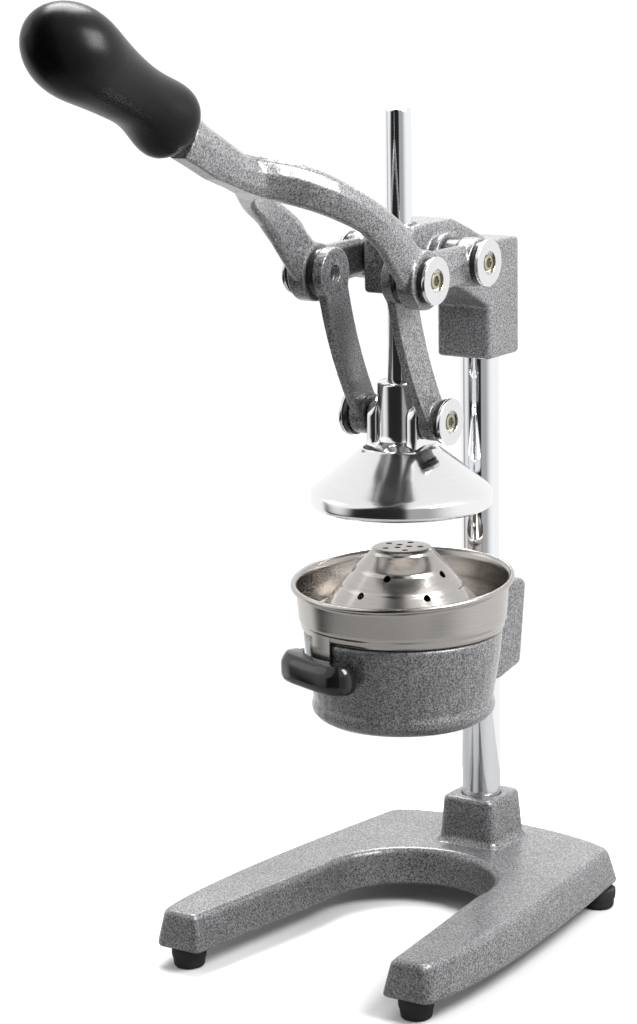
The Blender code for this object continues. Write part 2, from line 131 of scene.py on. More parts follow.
hammerPaint = {
    "speck": 1.05, "fleck": 0.6, "warp": 2.4, "patch": 16,  # grain sizes in millimetres
    "dark": (0.034, 0.033, 0.035), "mid": (0.122, 0.12, 0.125), "light": (0.27, 0.267, 0.275),
    "stops": (0.41, 0.485, 0.59), "fleckShare": 0.35, "cloud": (0.88, 1.1),
    "highlightFrom": 0.51, "highlightTo": 0.57, "edgeHighlight": 0.5,  # pointiness at which the painted edge highlight begins, and how far it lightens
    "metal": 0.3, "roughness": (0.36, 0.52), "coat": 0.9, "coatRoughness": 0.24, "depth": 0.2, "bump": 0.5,
}


def hammeredLook():
    # cast iron under hammered silver-grey enamel: small dark specks in a paler coat, with a painted highlight
    # that lightens sharp edges
    facts = hammerPaint
    look, tree, shader = newLook("hammeredSilverEnamel", facts["mid"], 0.4, facts["metal"])
    warp = noise(tree, overMm(tree, facts["warp"]), 2.0, output="Color")
    where = addNode(tree, "VectorMath", {0: overMm(tree, facts["speck"]), 1: warp}, operation="ADD").outputs[0]
    specks = noise(tree, where, 2.0, 0.55)
    flecks = noise(tree, overMm(tree, facts["fleck"]), 3.0)
    patches = noise(tree, overMm(tree, facts["patch"]), 3.0)
    both = blendShades(tree, facts["fleckShare"], specks, flecks)
    coat = ramp(tree, both, *zip(facts["stops"], (facts["dark"], facts["mid"], facts["light"])))
    cloud = ramp(tree, patches, (0.3, facts["cloud"][0]), (0.7, facts["cloud"][1]))
    tone = blendShades(tree, 1.0, coat, cloud, "MULTIPLY")
    pointiness = addNode(tree, "NewGeometry").outputs["Pointiness"]
    # painted highlight: sharp edges, found by pointiness, are lightened towards the coat's light tone
    edge = ramp(tree, pointiness, (facts["highlightFrom"], 0.0), (facts["highlightTo"], facts["edgeHighlight"]))
    tree.links.new(blendShades(tree, edge, tone, facts["light"]), shader.inputs["Base Color"])
    low, high = facts["roughness"]
    tree.links.new(ramp(tree, both, (0.4, high), (0.6, low)), shader.inputs["Roughness"])
    shader.inputs["Coat Weight"].default_value = facts["coat"]
    shader.inputs["Coat Roughness"].default_value = facts["coatRoughness"]
    bumpOn(tree, shader, both, facts["bump"], facts["depth"])
    return look


def roundTheAxis(tree, marks, sweep):
    # coordinates that run round the piece's own Z axis, so that the noise stretches into turning marks
    x, y, z = addNode(tree, "SeparateXYZ", {0: addNode(tree, "TexCoord").outputs["Object"]}).outputs
    square = maths(tree, "ADD", maths(tree, "MULTIPLY", x, x), maths(tree, "MULTIPLY", y, y))
    angle = maths(tree, "ARCTAN2", x, maths(tree, "MULTIPLY", y, -1.0))
    scales = ((maths(tree, "SQRT", square), marks / mm), (angle, sweep), (z, marks / mm))
    scaled = [maths(tree, "MULTIPLY", value, size) for value, size in scales]
    return addNode(tree, "CombineXYZ", dict(enumerate(scaled))).outputs[0]


turnedMarks = {"detail": 5.0, "rough": 0.65, "smear": 22, "smooth": 0.7, "dull": 1.35, "bump": 0.35}


def turnedLook(name, colour, roughness, marks, depth, tint=0.1, anisotropy=0.0, sweep=1.2):
    # metal with fine marks round its axis; marks is how many to a millimetre
    look, tree, shader = newLook(name, colour, roughness, 1.0)
    fine = noise(tree, roundTheAxis(tree, marks, sweep), turnedMarks["detail"], turnedMarks["rough"])
    smears = noise(tree, overMm(tree, turnedMarks["smear"]), 4.0)
    darker = tuple(c * (1 - tint) for c in colour)
    tree.links.new(ramp(tree, fine, (0.3, darker), (0.7, colour)), shader.inputs["Base Color"])
    average = maths(tree, "MULTIPLY", maths(tree, "ADD", fine, smears), 0.5)
    smooth, dull = (roughness * turnedMarks[key] for key in ("smooth", "dull"))
    spread = ramp(tree, average, (0.3, smooth), (0.7, dull))
    tree.links.new(spread, shader.inputs["Roughness"])
    if anisotropy:
        shader.inputs["Anisotropic"].default_value = anisotropy
        ringed = addNode(tree, "Tangent", direction_type="RADIAL", axis="Z")
        tree.links.new(ringed.outputs[0], shader.inputs["Tangent"])
    bumpOn(tree, shader, fine, turnedMarks["bump"], depth)
    return look


def mouldedLook(name, colour, roughness, grain, depth, lift, shine=0.5):
    # black plastic or rubber with a skin of grain millimetres and dust that is lift times as bright
    look, tree, shader = newLook(name, colour, roughness, 0.0)
    shader.inputs["Specular IOR Level"].default_value = shine
    skin = noise(tree, overMm(tree, grain), 4.0)
    dust = noise(tree, overMm(tree, 18), 5.0)
    pale = tuple(c * lift for c in colour)
    tree.links.new(ramp(tree, dust, (0.42, colour), (0.75, pale)), shader.inputs["Base Color"])
    spread = ramp(tree, skin, (0.3, roughness * 0.85), (0.7, roughness * 1.15))
    tree.links.new(spread, shader.inputs["Roughness"])
    bumpOn(tree, shader, skin, 0.3, depth)
    return look


hammered = hammeredLook()
chromePlate = turnedLook("chromePlate", (0.86, 0.87, 0.89), 0.05, 1.5, 0.004, tint=0.03)
polished = turnedLook("polishedAluminium", (0.88, 0.88, 0.89), 0.13, 2.5, 0.012, tint=0.06, anisotropy=0.45)
brushed = turnedLook("brushedStainless", (0.50, 0.475, 0.45), 0.19, 3.0, 0.02, tint=0.16, anisotropy=0.6,
                     sweep=2.0)
capFace = turnedLook("turnedCapSteel", (0.80, 0.80, 0.80), 0.16, 3.0, 0.015, tint=0.08, anisotropy=0.4)
screwSteel = turnedLook("plainScrewSteel", (0.42, 0.42, 0.43), 0.33, 2.0, 0.02, tint=0.2)
oliveBrass = turnedLook("oliveBrass", (0.50, 0.46, 0.33), 0.3, 2.0, 0.02, tint=0.25)
rubberSkin = mouldedLook("blackRubber", (0.016, 0.016, 0.017), 0.6, 0.8, 0.06, 2.2, shine=0.3)
gripSkin = mouldedLook("satinBlackGrip", (0.0045, 0.0042, 0.0048), 0.3, 1.1, 0.03, 1.5, shine=0.14)
glossSkin = mouldedLook("glossBlackTab", (0.008, 0.008, 0.009), 0.12, 2.0, 0.012, 1.6)
nylonSkin = mouldedLook("blackNylon", (0.02, 0.02, 0.021), 0.24, 0.9, 0.02, 1.6)
print("looks made")


def addPiece(name, bm, body, look, hides=(), at=(0, 0, 0), turn=None, sharp=32, baked=False):
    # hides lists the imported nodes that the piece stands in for; baked puts the place and turn into its mesh
    if baked:
        bm.transform(Matrix.Translation(at) @ (turn or Matrix()))
        at, turn = (0, 0, 0), None
    bmesh.ops.recalc_face_normals(bm, faces=bm.faces)
    mesh = bpy.data.meshes.new(name)
    bm.to_mesh(mesh)
    bm.free()
    mesh.materials.append(look)
    made = bpy.data.objects.new(name, mesh)
    bpy.context.scene.collection.objects.link(made)
    made.matrix_world = Matrix.Translation(at) @ (turn or Matrix())
    smoothShade(made, sharp)
    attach(made, body)
    if hides:
        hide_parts(*hides)
    return made


def smoothShade(obj, sharp):
    obj.data.shade_smooth()
    obj.data.set_sharp_from_angle(angle=math.radians(sharp))


def settle(obj):
    bpy.context.view_layer.update()
    baked = bpy.data.meshes.new_from_object(obj.evaluated_get(bpy.context.evaluated_depsgraph_get()))
    obj.modifiers.clear()
    obj.data = baked


def cutAway(obj, bm, turn=None):
    # takes the closed shape bm out of obj; both in world coordinates
    bmesh.ops.recalc_face_normals(bm, faces=bm.faces)
    mesh = bpy.data.meshes.new("cutter")
    bm.to_mesh(mesh)
    bm.free()
    cutter = bpy.data.objects.new("cutter", mesh)
    bpy.context.scene.collection.objects.link(cutter)
    cutter.matrix_world = turn or Matrix()
    step = obj.modifiers.new("cut", "BOOLEAN")
    step.operation, step.solver, step.object = "DIFFERENCE", "EXACT", cutter
    settle(obj)
    bpy.data.objects.remove(cutter, do_unlink=True)


def rounded(points, radius, count=4, closed=True):
    # every corner of the outline replaced by a small curve; radius may be one size or one for each point
    made = []
    for k, point in enumerate(points):
        size = radius[k] if isinstance(radius, (list, tuple)) else radius
        here = Vector(point)
        if size <= 0 or (not closed and k in (0, len(points) - 1)):
            made.append(tuple(here))
            continue
        before, after = Vector(points[k - 1]), Vector(points[(k + 1) % len(points)])
        first = here + (before - here).normalized() * min(size, (before - here).length * 0.45)
        last = here + (after - here).normalized() * min(size, (after - here).length * 0.45)
        for j in range(count + 1):
            t = j / count
            made.append(tuple(first * (1 - t) ** 2 + here * 2 * t * (1 - t) + last * t ** 2))
    return made


def lathe(profile, steps=96, closed=True):
    # profile is (radius, height) in millimetres; points on the axis become one
    bm = bmesh.new()
    rings = []
    for radius, height in profile:
        count = steps if radius > 0.001 else 1
        rings.append([bm.verts.new((radius * mm * math.cos(a), radius * mm * math.sin(a), height * mm))
                      for a in (math.tau * k / steps for k in range(count))])
    for first, second in zip(rings, rings[1:] + (rings[:1] if closed else [])):
        for k in range(steps):
            after = k + 1
            corners = dict.fromkeys([first[k % len(first)], first[after % len(first)],
                                     second[after % len(second)], second[k % len(second)]])
            if len(corners) > 2:
                bm.faces.new(list(corners))
    return bm


def loft(sections):
    # each section is a ring of points in millimetres from the rod's axis at table height
    bm = bmesh.new()
    rings = [[bm.verts.new((rodAt + Vector(p) * mm)) for p in ring] for ring in sections]
    for first, second in zip(rings, rings[1:]):
        for k in range(len(first)):
            after = (k + 1) % len(first)
            bm.faces.new([first[k], first[after], second[after], second[k]])
    bm.faces.new(rings[0])
    bm.faces.new(rings[-1])
    return bm


def along(line, y):
    # the value of a (y, value) line at y, for lines that run from the rear to the front
    for (y0, v0), (y1, v1) in zip(line, line[1:]):
        if y1 <= y <= y0:
            return v0 + (v1 - v0) * (y0 - y) / (y0 - y1)
    return line[0][1] if y > line[0][0] else line[-1][1]


def facing(side):
    return Matrix.Rotation(side * math.pi / 2, 4, "Y")


def merged(*parts):
    whole = parts[0]
    for part in parts[1:]:
        spare = bpy.data.meshes.new("spare")
        part.to_mesh(spare)
        part.free()
        whole.from_mesh(spare)
        bpy.data.meshes.remove(spare)
    return whole


def asCast(obj, voxel, relax, marks=0.12):
    # one skin over all the overlapping shapes, with worn edges and shallow hammer marks
    skin = obj.modifiers.new("skin", "REMESH")
    skin.mode, skin.voxel_size, skin.use_smooth_shade = "VOXEL", voxel * mm, True
    ease = obj.modifiers.new("ease", "SMOOTH")
    ease.factor, ease.iterations = 0.5, relax
    pattern = bpy.data.textures.new("hammerMarks", "CLOUDS")
    pattern.noise_scale, pattern.noise_depth = 0.0026, 2
    dents = obj.modifiers.new("dents", "DISPLACE")
    dents.texture, dents.strength, dents.mid_level, dents.texture_coords = pattern, marks * mm, 0.5, "LOCAL"
    settle(obj)
    obj.data.shade_smooth()
    return obj


def fromCad(node):
    bm = bmesh.new()
    bm.from_mesh(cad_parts[node].data)
    bmesh.ops.remove_doubles(bm, verts=bm.verts, dist=0.01 * mm)
    return bm


castParts = {
    "baseCasting": {"node": "base_casting", "body": "stand", "voxel": 1.15, "relax": 9},
    "bowlRing": {"node": "bowl_ring", "body": "stand", "voxel": 0.85, "relax": 7},
    "headCasting": {"node": "head_casting", "body": "stand", "voxel": 0.8, "relax": 8},
    "linkRight": {"node": "link_right", "body": "links", "voxel": 0.55, "relax": 7},
    "linkLeft": {"node": "link_left", "body": "links", "voxel": 0.55, "relax": 7},
}
for name, facts in castParts.items():
    obj = addPiece(name, fromCad(facts["node"]), facts["body"], hammered, [facts["node"]])
    asCast(obj, facts["voxel"], facts["relax"])
print("castings made")


leverSizes = {  # (y, value) lines in millimetres from the rod's axis, rear to front
    "top": [(22, 443.5), (-30, 443.5), (-45, 450), (-52, 460), (-62, 467), (-94, 485), (-125, 501),
            (-145, 509.5), (-158, 512), (-168, 513)],
    "bottom": [(22, 420.5), (-25, 418), (-50, 420), (-60, 428), (-68.5, 437), (-80, 450), (-97, 464),
               (-125, 477), (-145, 485), (-168, 492)],
    "outer": [(22, 44.5), (-80, 44.5), (-95, 42.8), (-110, 39.6), (-122, 36.3), (-136, 29.5), (-150, 19.6),
              (-160, 11.5), (-168, 7)],
    "inner": [(22, 33.5), (-80, 33.5), (-92, 31.8), (-104, 28.6), (-116, 24.5), (-128, 17.5), (-138, 9),
              (-145, 0)],
    "sections": [22, 10, 0, -12, -24, -33, -41, -48, -54, -60, -66, -73, -80, -88, -96, -104, -112, -120, -128,
                 -136, -144, -152, -160, -168],
    "crease": 0.44,  # where the outer side's crease runs, as a share of the height from the top
    "bosses": {"a": 18.0, "b": 15.0}, "bossHalf": 6.0, "bossEdge": 1.2, "armMiddle": 39.0,
    "tang": [(-144, 486, 508.3, 14), (-151, 488.3, 509.7, 14), (-158, 490.5, 511, 12.6),  # y, low, high, half
             (-165, 493, 512.4, 10.8), (-173, 495.8, 514, 9.8), (-190, 502, 522.9, 9.3),
             (-206, 509.9, 531.3, 9), (-220.5, 516.8, 540, 9)],
    "tangLean": 0.5,  # the tang's sections lean back with the grip
    "voxel": 0.65, "relax": 9,
}


def armSection(y, side):
    top, bottom = along(leverSizes["top"], y), along(leverSizes["bottom"], y)
    outer, inner = along(leverSizes["outer"], y), along(leverSizes["inner"], y)
    wide, tall = outer - inner, top - bottom
    crease = leverSizes["crease"]
    shape = [(inner, 0.14), (inner + 0.2 * wide, 0.0), (inner + 0.58 * wide, 0.0), (outer - 0.16 * wide, 0.13),
             (outer, crease), (outer - 0.12 * wide, 0.7), (outer - 0.34 * wide, 0.95), (inner + 0.5 * wide, 1.0),
             (inner + 0.22 * wide, 1.0), (inner, 0.86)]
    return [(side * x, y, top - tall * down) for x, down in shape]


def tangSection(y, low, high, half):
    lean, tall = leverSizes["tangLean"], high - low
    right = [(0.45, 1.0), (0.8, 0.86), (1.0, 0.56), (0.86, 0.2), (0.6, 0.0)]
    shape = right + [(-x, up) for x, up in reversed(right)]
    return [(half * x, y + lean * tall * (up - 0.5), low + tall * up) for x, up in shape]


def boss(letter, side):
    radius, half = leverSizes["bosses"][letter], leverSizes["bossHalf"]
    outline = [(0, -half), (radius, -half), (radius, half), (0, half)]
    bm = lathe(rounded(outline, leverSizes["bossEdge"], closed=False), 64)
    out = Vector((side * leverSizes["armMiddle"] * mm, 0, 0))
    bm.transform(Matrix.Translation(pivotAt[letter] + out) @ facing(1))
    return bm


def makeLever():
    parts = []
    for side in sides.values():
        parts.append(loft([armSection(y, side) for y in leverSizes["sections"]]))
        parts += [boss(letter, side) for letter in leverSizes["bosses"]]
    parts.append(loft([tangSection(*facts) for facts in leverSizes["tang"]]))
    for part in parts:
        bmesh.ops.recalc_face_normals(part, faces=part.faces)
    obj = addPiece("leverFork", merged(*parts), "lever", hammered, ["lever_fork"])
    asCast(obj, leverSizes["voxel"], leverSizes["relax"])


makeLever()
print("lever made")


gripSizes = {  # (radius, distance from the inner end) in millimetres
    "profile": [(6.6, 0.4), (12.5, 0.2), (16.8, 1.2), (19.6, 4.6), (20.9, 10), (20.7, 17), (19.5, 26),
                (18.8, 35), (18.7, 44), (19.3, 54), (20.4, 65), (22.2, 77), (24.2, 88), (25.1, 97),
                (24.6, 106), (22.6, 114), (19.0, 121.5), (14.0, 128), (8.0, 132.6), (3.0, 134.8), (0, 135.4)],
    "start": (-227.1, 534.4), "slope": 27.5, "flatTo": 12.0,  # y and z of the inner end, degrees, radius
    "lobe": 2.6, "lobeAt": 12.0, "lobeLength": 11.0, "waist": 1.6, "waistAt": 36.0, "waistLength": 16.0,
}


def makeGrip():
    # the grip points forwards and up; its underside swells beside the tang and thins at the waist
    facts = gripSizes
    slope = math.radians(facts["slope"])
    start = rodAt + Vector((0, *facts["start"])) * mm
    bm = lathe(facts["profile"] + [(0, 0.4)], 72)
    for point in bm.verts:
        z, across = point.co.z / mm, math.hypot(point.co.x, point.co.y)
        under = max(0.0, -point.co.y) / max(1e-6, across)
        swell = facts["lobe"] * math.exp(-((z - facts["lobeAt"]) / facts["lobeLength"]) ** 2)
        thin = facts["waist"] * math.exp(-((z - facts["waistAt"]) / facts["waistLength"]) ** 2)
        point.co.y -= (swell - thin) * under ** 2 * mm * min(1.0, across / (facts["flatTo"] * mm))
    obj = addPiece("gripShell", bm, "lever", gripSkin, ["grip"], start,
                   Matrix.Rotation(math.pi / 2 - slope, 4, "X"), sharp=60, baked=True)
    finer = obj.modifiers.new("finer", "SUBSURF")
    finer.levels = finer.render_levels = 1
    settle(obj)
    smoothShade(obj, 60)


makeGrip()


shafts = {
    "chromeColumn": {"node": "column", "body": "stand", "chamfer": 1.0},
    "pressRod": {"node": "press_rod", "body": "press", "chamfer": 1.4},
}


def makeShafts():
    for name, facts in shafts.items():
        low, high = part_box(facts["node"])
        radius, tall = (high.x - low.x) / 2 / mm, (high.z - low.z) / mm
        profile = rounded([(0, 0), (radius, 0), (radius, tall), (0, tall)], facts["chamfer"], closed=False)
        at = standingAt(facts["node"])
        addPiece(name, lathe(profile, 96), facts["body"], chromePlate, [facts["node"]], at)


coneSizes = {  # (radius, height above the rim) in millimetres
    "outer": [(13.4, 77.7), (14.4, 76.7), (14.4, 44.5), (15.2, 41.6), (17.8, 39.6), (24.0, 37.0), (24.5, 36.2),
              (45.0, 19.2), (53.6, 12.2), (56.2, 9.6), (56.8, 7.6), (56.8, 2.2), (56.1, 0.7), (55.2, 0.0)],
    "inner": [(54.2, 0.4), (53.6, 7.2), (43.5, 15.9), (23, 32.5), (18, 34.4), (8.6, 34.6), (8.6, 77.7)],
    "earHalf": 12.0, "earThick": (10.6, 18.5), "earFoot": 33, "earSoft": 1.7,
    "earFlare": [(3.5, 0), (0.8, 5), (0, 11)],  # how much wider, and how high above the foot
}


def earShape(side):
    # a round-topped ear that stands on the cone's shoulder, with a soft edge
    half, soft, (thin, thick) = coneSizes["earHalf"], coneSizes["earSoft"], coneSizes["earThick"]
    top = pivotAt["c"].z / mm
    foot = standingAt("press_cone").z / mm + coneSizes["earFoot"]
    flare = [(half + wider, foot + up) for wider, up in coneSizes["earFlare"]]
    outline = [(-y, z) for y, z in flare]
    outline += [(-half * math.cos(a), top + half * math.sin(a)) for a in (math.pi * k / 20 for k in range(21))]
    outline += flare[::-1]
    inner = [(thin, soft), (thin + 0.5, soft * 0.4), (thin + soft, 0)]
    outer = [(thick - soft, 0), (thick - 0.5, soft * 0.4), (thick, soft)]
    layers = []
    for x, inset in inner + outer:
        ring = []
        for y, z in outline:
            lower = 1 - inset / (top + half - foot)
            ring.append((side * x, y * (1 - inset / half), foot + (z - foot) * lower))
        layers.append(ring)
    return loft(layers)


def makeCone():
    at = standingAt("press_cone")
    profile = rounded(coneSizes["outer"], 1.0, 3, closed=False) + coneSizes["inner"]
    addPiece("pressCone", lathe(profile, 160), "press", polished, ["press_cone"], at,
             sharp=50)
    for name, side in sides.items():
        bm = earShape(side)
        bm.transform(Matrix.Translation(-at))
        addPiece(f"coneEar_{name}", bm, "press", polished, at=at, sharp=50)


makeShafts()
makeCone()


panSizes = {  # (radius, height above the pan's floor) in millimetres
    "wall": [(41.8, 0), (61.2, 0), (63.2, 0.8), (64.0, 2.4), (64.2, 4.9), (65.0, 6.2), (65.3, 8.0), (66.7, 27.0),
             (67.4, 28.5), (68.6, 28.6), (69.8, 29.3), (70.2, 30.6), (69.8, 31.9), (68.7, 32.4), (67.5, 32.1),
             (66.3, 30.6), (65.6, 27.4), (64.0, 8.2), (63.0, 5.6), (62.6, 3.0), (60.8, 1.5), (41.8, 1.5)],
    "lean": 3.9, "leanFrom": 8.0, "leanOver": 18.0,  # the rim's tilt in degrees, and where the wall starts it
    "overFunnel": 0.3,
}


def makePan():
    at = Vector((0, rodAt.y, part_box("juice_funnel")[1].z + panSizes["overFunnel"] * mm))
    bm = lathe(rounded(panSizes["wall"], 0.5, 2), 128)
    lean = math.tan(math.radians(panSizes["lean"]))
    for point in bm.verts:
        share = (point.co.z / mm - panSizes["leanFrom"]) / panSizes["leanOver"]
        point.co.z += max(0.0, min(1.0, share)) * lean * point.co.y
    addPiece("panShell", bm, "pan", brushed, ["pan"], at, sharp=45)


sieveSizes = {  # (radius, height above the pan's floor) in millimetres
    "top": [(0, 50.2), (16.4, 50.2), (18.2, 49.9), (19.6, 48.6), (20.2, 47.0)],
    "ridges": 4, "ridge": [(1.3, 2.2), (0.35, 1.0), (0, 0)],  # how far in and up from each ridge's foot
    "low": (57.0, 4.8), "flange": [(58.4, 2.6), (58.4, 0.3), (56.4, 0.3)], "wall": 1.1, "overFunnel": 1.8,
    "flankHoles": {30.0: (-148, -76, -2, 68, 140), 39.1: (-165, -99, -35, 45, 120)},  # radius: degrees
    "topHoles": {4.5: 3, 11.5: 5}, "topTurn": 0.4, "flankHole": 2.4, "topHole": 2.0, "drillHalf": 8,
}


def drilled(radius, steps, spot, turn=None):
    half = sieveSizes["drillHalf"]
    hole = lathe([(0, -half), (radius, -half), (radius, half), (0, half)], steps, closed=False)
    hole.transform(Matrix.Translation(Vector(spot) * mm) @ (turn or Matrix()))
    bmesh.ops.recalc_face_normals(hole, faces=hole.faces)
    return hole


def makeSieve():
    facts = sieveSizes
    at = Vector((0, rodAt.y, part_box("juice_funnel")[1].z + facts["overFunnel"] * mm))
    topZ = facts["top"][0][1]
    startR, startZ = facts["top"][-1]
    endR, endZ = facts["low"]
    outer = list(facts["top"])
    for k in range(1, facts["ridges"] + 1):
        t = k / facts["ridges"]
        radius, height = startR + (endR - startR) * t, startZ + (endZ - startZ) * t
        outer += [(radius - inwards, height + up) for inwards, up in facts["ridge"]]
    outer += facts["flange"]
    wall = facts["wall"]
    inner = [(endR - wall, endZ), (startR - wall, startZ - wall * 0.4), (17.4, topZ - wall), (0, topZ - wall)]
    shell = lathe(rounded(outer, 0.7, 2, closed=False) + inner, 120)
    obj = addPiece("sieveCone", shell, "pan", brushed, ["sieve_cone"], at, sharp=40)
    slope = math.atan2(startZ - endZ, endR - startR)
    holes = []
    for radius, turns in facts["flankHoles"].items():
        z = startZ - (radius - startR) * math.tan(slope)
        for angle in map(math.radians, turns):
            turn = Matrix.Rotation(angle, 4, "Z") @ Matrix.Rotation(math.pi / 2 - slope, 4, "Y")
            spot = (radius * math.cos(angle), radius * math.sin(angle), z)
            holes.append(drilled(facts["flankHole"], 24, spot, turn))
    for radius, count in facts["topHoles"].items():
        for angle in (math.tau * k / count + facts["topTurn"] for k in range(count)):
            spot = (radius * math.cos(angle), radius * math.sin(angle), 50)
            holes.append(drilled(facts["topHole"], 20, spot))
    cutAway(obj, merged(*holes), Matrix.Translation(at))
    smoothShade(obj, 40)


tabSizes = {  # millimetres from the rod's axis, in the direction turned by "turn" degrees from the front
    "turn": -20.5, "reach": 79.0, "half": 32.4, "inner": 63.4, "innerHalf": 22.5, "low": 174.6, "high": 192.8,
    "layers": ((0.0, 3.6), (0.03, 2.4), (0.1, 1.1), (0.19, 0.3), (0.3, 0.0), (0.62, 0.0), (0.72, 0.5),
               (0.86, 2.1), (0.95, 3.6), (0.99, 4.8), (1.0, 5.8)),  # share of the height, how far in
    "corner": 3.5, "innerCorner": 2.5, "nose": 9.5, "behind": 0.15,  # the rear gets that share of the inset
}


def tabOutline():
    facts = tabSizes
    half = [(0, facts["reach"]), (15, facts["reach"] - 0.4), (25.0, 76.6), (30.4, 72.4), (facts["half"], 66.0),
            (29.6, 57.5)]
    half += [(facts["inner"] * math.sin(a), facts["inner"] * math.cos(a))
             for a in (math.radians(facts["innerHalf"] * (1 - k / 4)) for k in range(5))]
    right = rounded(half, [0] + [facts["corner"]] * 4 + [facts["innerCorner"]] + [0] * 5, 6, closed=False)
    return right + [(-x, y) for x, y in reversed(right[1:-1])]


def makeTab():
    facts = tabSizes
    outline = tabOutline()
    middle = Vector((0, (facts["reach"] + facts["inner"]) / 2 + 0.4))
    layers = []
    for share, inset in facts["layers"]:
        z = facts["low"] + (facts["high"] - facts["low"]) * share
        ring = []
        for x, y in outline:
            out = Vector((x, y)) - middle
            away = Vector((out.x / facts["half"], out.y / facts["nose"]))
            outside = 1.0 if y > facts["inner"] - 4 or abs(x) > 26 else facts["behind"]
            pull = inset * outside * away.normalized()
            ring.append((x - pull.x, y - pull.y, z))
        layers.append(ring)
    bm = loft(layers)
    bm.transform(Matrix.Translation(-rodAt))
    turn = Matrix.Rotation(math.radians(180 + facts["turn"]), 4, "Z")
    addPiece("panTab", bm, "pan", glossSkin, ["pan_tab"], rodAt, turn, sharp=24)


bracketSizes = {"radius": (63.0, 64.2), "half": 8.0, "low": 180.0, "high": 206.5, "steps": 16}


def makeBracket():
    # the bent strip that joins the pan's wall to the tab
    facts = bracketSizes
    middle = math.radians(-90 + tabSizes["turn"])
    spread = math.radians(facts["half"])
    count = facts["steps"]
    turns = [middle - spread + 2 * spread * k / count for k in range(count + 1)]
    inner, outer = facts["radius"]
    ring = [(outer * math.cos(a), outer * math.sin(a)) for a in turns]
    ring += [(inner * math.cos(a), inner * math.sin(a)) for a in reversed(turns)]
    bm = loft([[(x, y, z) for x, y in ring] for z in (facts["low"], facts["high"])])
    bm.transform(Matrix.Translation(-rodAt))
    addPiece("panBracket", bm, "pan", brushed, at=rodAt)


funnelSizes = {  # (radius, height above the table) in millimetres
    "wall": [(54.3, 201.6), (54.3, 200.2), (13.6, 165.2), (12.6, 136), (11.4, 136), (12.2, 165.8), (50.6, 199.6),
             (50.6, 201.6)],
    "edge": 0.5,
}


def makeFunnel():
    bm = lathe(rounded(funnelSizes["wall"], funnelSizes["edge"], 2), 96)
    addPiece("juiceFunnel", bm, "pan", brushed, ["juice_funnel"], Vector((0, rodAt.y, 0)))


makePan()
makeSieve()
makeTab()
makeBracket()
makeFunnel()
print("pan, sieve and tab made")


pivotSizes = {
    "cap": 14.5, "capThick": 2.4, "recess": 7.1, "recessDeep": 2.6, "washerIn": 0.7, "bore": 0.4,
    "screw": 5.0, "socket": (3.0, 2.7), "socketDeep": 2.0, "hex": 2.35, "hexFrom": 2.4, "hexTo": 1.1,
    "stacks": {  # how far out each joint's parts stand, in millimetres; a spacer's are near, far and radius
        "a": {"body": "links", "shank": 5.0, "shankLow": 23.4, "face": 51.2, "washerLow": 45.3,
              "spacer": (28.3, 32.6, 15.3)},
        "b": {"body": "stand", "shank": 5.0, "shankLow": 14.4, "face": 51.2, "washerLow": 45.3,
              "spacer": (22.8, 32.6, 14.0)},
        "c": {"body": "press", "shank": 4.5, "shankLow": 12.8, "face": 36.9, "washerLow": 31.3, "spacer": None},
    },
}


def collar(inner, outer, low, high, edge):
    return rounded([(inner, low), (outer, low), (outer, high), (inner, high)], edge, 3)


def pivotShapes(facts):
    # name of the piece, its profile, how many steps round, slot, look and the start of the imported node's name
    sizes = pivotSizes
    face, shank, low = facts["face"], facts["shank"], facts["washerLow"]
    cap, recess, deep = sizes["cap"], sizes["recess"], sizes["recessDeep"]
    back, floor, bore = face - sizes["capThick"], face - deep, shank + sizes["bore"]
    stud = rounded([(0, facts["shankLow"]), (shank, facts["shankLow"]), (shank, back), (cap, back), (cap, face),
                    (recess, face), (recess, floor), (0, floor)],
                   [0, 0.5, 0, 0.5, 0.7, 0.35, 0.2, 0], 3, closed=False)
    screwR, (mouth, socketR), socketEnd = sizes["screw"], sizes["socket"], face - sizes["socketDeep"]
    screw = rounded([(0, floor + 0.1), (screwR, floor + 0.1), (screwR, face - 0.6), (mouth, face - 0.4),
                     (socketR, socketEnd), (0, socketEnd)], [0, 0, 0.5, 0.2, 0.1, 0], 2, closed=False)
    hexR, hexLow, hexHigh = sizes["hex"], face - sizes["hexFrom"], face - sizes["hexTo"]
    washer = collar(bore, cap - sizes["washerIn"], low, back - 0.2, 0.5)
    shapes = [("studCap", lathe(stud, 72), "chrome", capFace, "stud"),
              ("socketScrew", lathe(screw, 36), "brass", oliveBrass, "stud_screw"),
              # painted shade: the dark of the screw's hex recess is a black nylon hexagon set into the socket
              ("hexSocketShade", lathe([(0, hexLow), (hexR, hexLow), (hexR, hexHigh), (0, hexHigh)], 6, closed=False),
               "black_nylon", nylonSkin, None),
              ("blackWasher", lathe(washer, 72), "black_nylon", nylonSkin, "washer")]
    if facts["spacer"]:
        near, far, radius = facts["spacer"]
        sleeve = lathe(collar(bore, radius, near, far, 0.6), 64)
        shapes.append(("nylonSleeve", sleeve, "black_nylon", nylonSkin, "spacer"))
    return shapes


def makePivots():
    for letter, facts in pivotSizes["stacks"].items():
        for name, side in sides.items():
            tag = f"{letter}_{name}"
            for title, bm, slotName, look, node in pivotShapes(facts):
                hides = [f"{node}_{tag}"] if node else ()
                addPiece(f"{title}_{tag}", bm, facts["body"], look, hides, pivotAt[letter],
                         facing(side))


bushSizes = {"inner": 8.6, "outer": 10.5, "edge": 0.3}


def makeBush():
    low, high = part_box("guide_bush")
    inner, outer, tall = bushSizes["inner"], bushSizes["outer"], (high.z - low.z) / mm
    profile = rounded([(inner, 0), (outer, 0), (outer, tall), (inner, tall)], bushSizes["edge"], 2)
    addPiece("guideBush", lathe(profile, 64), "stand", nylonSkin, ["guide_bush"],
             standingAt("guide_bush"))


